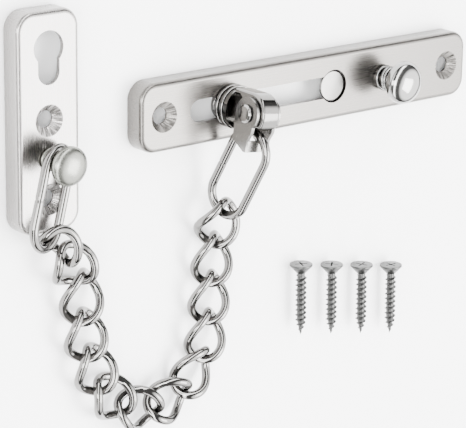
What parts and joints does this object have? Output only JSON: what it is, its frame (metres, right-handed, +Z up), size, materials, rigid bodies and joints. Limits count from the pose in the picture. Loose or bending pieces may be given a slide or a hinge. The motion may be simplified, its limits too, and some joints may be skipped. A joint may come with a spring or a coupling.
{
  "type": "door chain guard",
  "caption": "Sliding door chain guard: a slotted door plate with a sprung release button, a twisted-link chain on a swivel slider, a jamb plate with a post, and loose wood screws.",
  "frame": {"origin": "middle of the underside of the whole set as it lies on a table", "axes": "+X along the door plate from the slot's closed end towards the release button, +Y along the jamb plate towards its keyhole, +Z up, away from the door"},
  "size_m": [0.1852, 0.1412, 0.0272],
  "materials": {
    "satin_plate": "satin nickel plate",
    "polished": "bright nickel plate",
    "chain_wire": "bright nickel plate",
    "spring_steel": "bare spring steel",
    "screw_steel": "dull zinc plate"
  },
  "bodies": {
    "door_plate": {"door_plate": "satin_plate", "wood_screw_1": "screw_steel", "wood_screw_2": "screw_steel", "wood_screw_3": "screw_steel", "wood_screw_4": "screw_steel"},
    "release_catch": {"release_button": "polished", "latch_strip": "spring_steel", "latch_disc": "polished", "button_spring": "spring_steel"},
    "slider": {"slider_stud": "polished"},
    "swivel_head": {"swivel_head": "polished", "stirrup_pin": "polished"},
    "stirrup": {"stirrup": "polished"},
    "stirrup_link": {"stirrup_link": "chain_wire"},
    "chain_link_13": {"chain_link_13": "chain_wire"},
    "chain_link_12": {"chain_link_12": "chain_wire"},
    "chain_link_11": {"chain_link_11": "chain_wire"},
    "chain_link_10": {"chain_link_10": "chain_wire"},
    "chain_link_09": {"chain_link_09": "chain_wire"},
    "chain_link_08": {"chain_link_08": "chain_wire"},
    "chain_link_07": {"chain_link_07": "chain_wire"},
    "chain_link_06": {"chain_link_06": "chain_wire"},
    "chain_link_05": {"chain_link_05": "chain_wire"},
    "chain_link_04": {"chain_link_04": "chain_wire"},
    "chain_link_03": {"chain_link_03": "chain_wire"},
    "chain_link_02": {"chain_link_02": "chain_wire"},
    "chain_link_01": {"chain_link_01": "chain_wire"},
    "post_link": {"post_link": "chain_wire"},
    "jamb_plate": {"jamb_plate": "satin_plate", "jamb_post": "polished"}
  },
  "joints": [
    {"name": "slider_slide", "type": "slide", "parent": "door_plate", "child": "slider", "axis": [1, 0, 0], "range_m": [-0.012, 0.022]},
    {"name": "head_swivel", "type": "hinge", "parent": "slider", "child": "swivel_head", "pos_m": [-0.01016, 0.03207, 0.012], "axis": [0, 0, -1], "range_deg": [-20, 38]},
    {"name": "stirrup_pivot", "type": "hinge", "parent": "swivel_head", "child": "stirrup", "pos_m": [-0.01016, 0.03207, 0.0206], "axis": [-0.9905, 0.1374, 0], "range_deg": [-0.5, 20]},
    {"name": "stirrup_link_hang", "type": "hinge", "parent": "stirrup", "child": "stirrup_link", "pos_m": [-0.01127, 0.02405, 0.02165], "axis": [-0.9905, 0.1374, 0], "range_deg": [-1, 20]},
    {"name": "link_13_turn", "type": "hinge", "parent": "stirrup_link", "child": "chain_link_13", "pos_m": [-0.01461, -0.00001, 0.009], "axis": [0, 0, 1], "range_deg": [-35, 28]},
    {"name": "link_12_turn", "type": "hinge", "parent": "chain_link_13", "child": "chain_link_12", "pos_m": [-0.01442, -0.01202, 0.0046], "axis": [0, 0, -1], "range_deg": [-20, 20]},
    {"name": "link_11_turn", "type": "hinge", "parent": "chain_link_12", "child": "chain_link_11", "pos_m": [-0.01542, -0.02478, 0.0046], "axis": [0, 0, 1], "range_deg": [-18, 20]},
    {"name": "link_10_turn", "type": "hinge", "parent": "chain_link_11", "child": "chain_link_10", "pos_m": [-0.01652, -0.03754, 0.0046], "axis": [0, 0, -1], "range_deg": [-30, 15]},
    {"name": "link_09_turn", "type": "hinge", "parent": "chain_link_10", "child": "chain_link_09", "pos_m": [-0.01808, -0.05024, 0.0046], "axis": [0, 0, 1], "range_deg": [-12, 30]},
    {"name": "link_08_turn", "type": "hinge", "parent": "chain_link_09", "child": "chain_link_08", "pos_m": [-0.02594, -0.06034, 0.0046], "axis": [0, 0, -1], "range_deg": [-20, 10]},
    {"name": "link_07_turn", "type": "hinge", "parent": "chain_link_08", "child": "chain_link_07", "pos_m": [-0.03805, -0.06449, 0.0046], "axis": [0, 0, 1], "range_deg": [-10, 20]},
    {"name": "link_06_turn", "type": "hinge", "parent": "chain_link_07", "child": "chain_link_06", "pos_m": [-0.05045, -0.06131, 0.0046], "axis": [0, 0, -1], "range_deg": [-20, 10]},
    {"name": "link_05_turn", "type": "hinge", "parent": "chain_link_06", "child": "chain_link_05", "pos_m": [-0.0591, -0.05187, 0.0046], "axis": [0, 0, 1], "range_deg": [-10, 20]},
    {"name": "link_04_turn", "type": "hinge", "parent": "chain_link_05", "child": "chain_link_04", "pos_m": [-0.06354, -0.03986, 0.0046], "axis": [0, 0, -1], "range_deg": [-30, 13]},
    {"name": "link_03_turn", "type": "hinge", "parent": "chain_link_04", "child": "chain_link_03", "pos_m": [-0.06615, -0.02733, 0.0046], "axis": [0, 0, -1], "range_deg": [-20, 15]},
    {"name": "link_02_turn", "type": "hinge", "parent": "chain_link_03", "child": "chain_link_02", "pos_m": [-0.06575, -0.01454, 0.0046], "axis": [0, 0, -1], "range_deg": [-1, 20]},
    {"name": "link_01_turn", "type": "hinge", "parent": "chain_link_02", "child": "chain_link_01", "pos_m": [-0.0742, -0.00519, 0.00688], "axis": [0, 0, -1], "range_deg": [-12, 14]},
    {"name": "post_link_turn", "type": "hinge", "parent": "chain_link_01", "child": "post_link", "pos_m": [-0.08161, 0.00386, 0.01207], "axis": [0, 0, -1], "range_deg": [-5, 3]},
    {"name": "jamb_plate_turn", "type": "hinge", "parent": "post_link", "child": "jamb_plate", "pos_m": [-0.07902, 0.02577, 0], "axis": [0, 0, 1], "range_deg": [-44, 60]},
    {"name": "release_press", "type": "slide", "parent": "door_plate", "child": "release_catch", "axis": [0, 0, -1], "range_m": [0, 0.0035], "stiffness_N_per_m": 400, "springref_m": -0.002, "deforming": ["button_spring"]}
  ]
}
